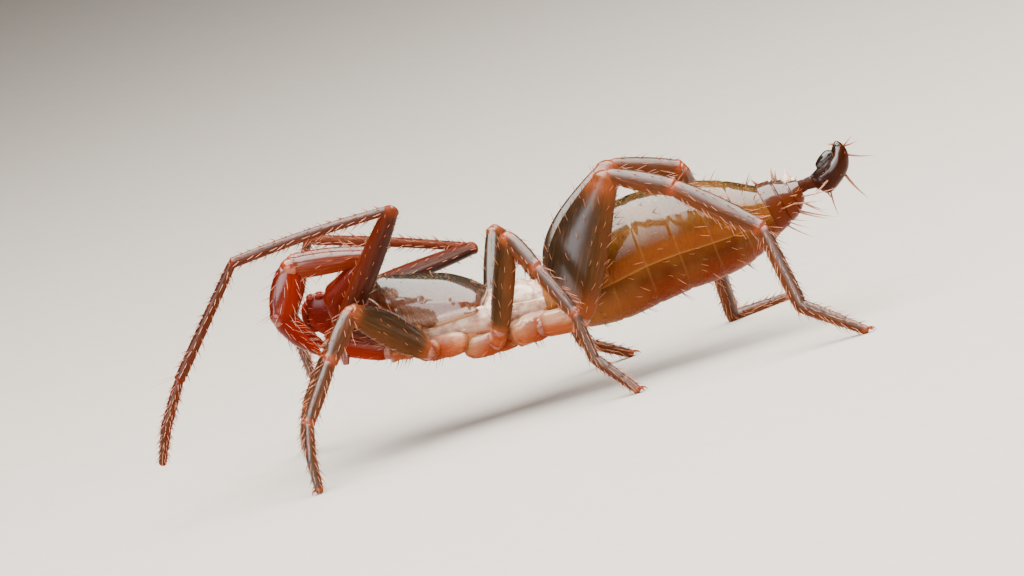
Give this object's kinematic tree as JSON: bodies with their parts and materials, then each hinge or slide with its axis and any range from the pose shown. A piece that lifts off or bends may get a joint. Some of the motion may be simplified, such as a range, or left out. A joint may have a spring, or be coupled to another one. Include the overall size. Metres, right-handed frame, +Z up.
{
  "type": "schizomid",
  "caption": "Life-size still model of a cave-dwelling schizomid (short-tailed whip-scorpion), male, standing on its walking legs with the feeler legs raised.",
  "frame": {"origin": "on the floor, under the middle of the animal's bounding box", "axes": "-X is the head end, +X the tail end, -Y the animal's left side, +Z up"},
  "size_m": [0.0078, 0.0048, 0.0025],
  "materials": {
    "shield_cuticle": "glossy translucent brown cuticle",
    "soft_membrane": "moist pinkish membrane and pale cuticle",
    "abdomen_cuticle": "glossy translucent amber cuticle",
    "flagellum_cuticle": "hard glossy red-brown cuticle",
    "jaw_cuticle": "hard glossy dark red cuticle",
    "palp_cuticle": "glossy translucent red cuticle",
    "feeler_cuticle": "semi-gloss red-brown cuticle with setae",
    "leg_cuticle": "semi-gloss translucent brown cuticle with setae"
  },
  "bodies": {
    "root": {"abdomen": "abdomen_cuticle", "chelicera_left": "jaw_cuticle", "chelicera_right": "jaw_cuticle", "coxosternum": "soft_membrane", "flagellum": "flagellum_cuticle", "leg_1_left_femur": "feeler_cuticle", "leg_1_left_patella": "feeler_cuticle", "leg_1_left_tarsus": "feeler_cuticle", "leg_1_left_tibia": "feeler_cuticle", "leg_1_left_trochanter": "feeler_cuticle", "leg_1_right_femur": "feeler_cuticle", "leg_1_right_patella": "feeler_cuticle", "leg_1_right_tarsus": "feeler_cuticle", "leg_1_right_tibia": "feeler_cuticle", "leg_1_right_trochanter": "feeler_cuticle", "leg_2_left_femur": "leg_cuticle", "leg_2_left_patella": "leg_cuticle", "leg_2_left_tarsus": "leg_cuticle", "leg_2_left_tibia": "leg_cuticle", "leg_2_left_trochanter": "leg_cuticle", "leg_2_right_femur": "leg_cuticle", "leg_2_right_patella": "leg_cuticle", "leg_2_right_tarsus": "leg_cuticle", "leg_2_right_tibia": "leg_cuticle", "leg_2_right_trochanter": "leg_cuticle", "leg_3_left_femur": "leg_cuticle", "leg_3_left_patella": "leg_cuticle", "leg_3_left_tarsus": "leg_cuticle", "leg_3_left_tibia": "leg_cuticle", "leg_3_left_trochanter": "leg_cuticle", "leg_3_right_femur": "leg_cuticle", "leg_3_right_patella": "leg_cuticle", "leg_3_right_tarsus": "leg_cuticle", "leg_3_right_tibia": "leg_cuticle", "leg_3_right_trochanter": "leg_cuticle", "leg_4_left_femur": "leg_cuticle", "leg_4_left_patella": "leg_cuticle", "leg_4_left_tarsus": "leg_cuticle", "leg_4_left_tibia": "leg_cuticle", "leg_4_left_trochanter": "leg_cuticle", "leg_4_right_femur": "leg_cuticle", "leg_4_right_patella": "leg_cuticle", "leg_4_right_tarsus": "leg_cuticle", "leg_4_right_tibia": "leg_cuticle", "leg_4_right_trochanter": "leg_cuticle", "metapeltidium": "soft_membrane", "palp_left_femur": "palp_cuticle", "palp_left_patella": "palp_cuticle", "palp_left_tarsus": "palp_cuticle", "palp_left_tibia": "palp_cuticle", "palp_left_trochanter": "palp_cuticle", "palp_right_femur": "palp_cuticle", "palp_right_patella": "palp_cuticle", "palp_right_tarsus": "palp_cuticle", "palp_right_tibia": "palp_cuticle", "palp_right_trochanter": "palp_cuticle", "propeltidium": "shield_cuticle", "tail_rings": "abdomen_cuticle"}
  },
  "joints": []
}
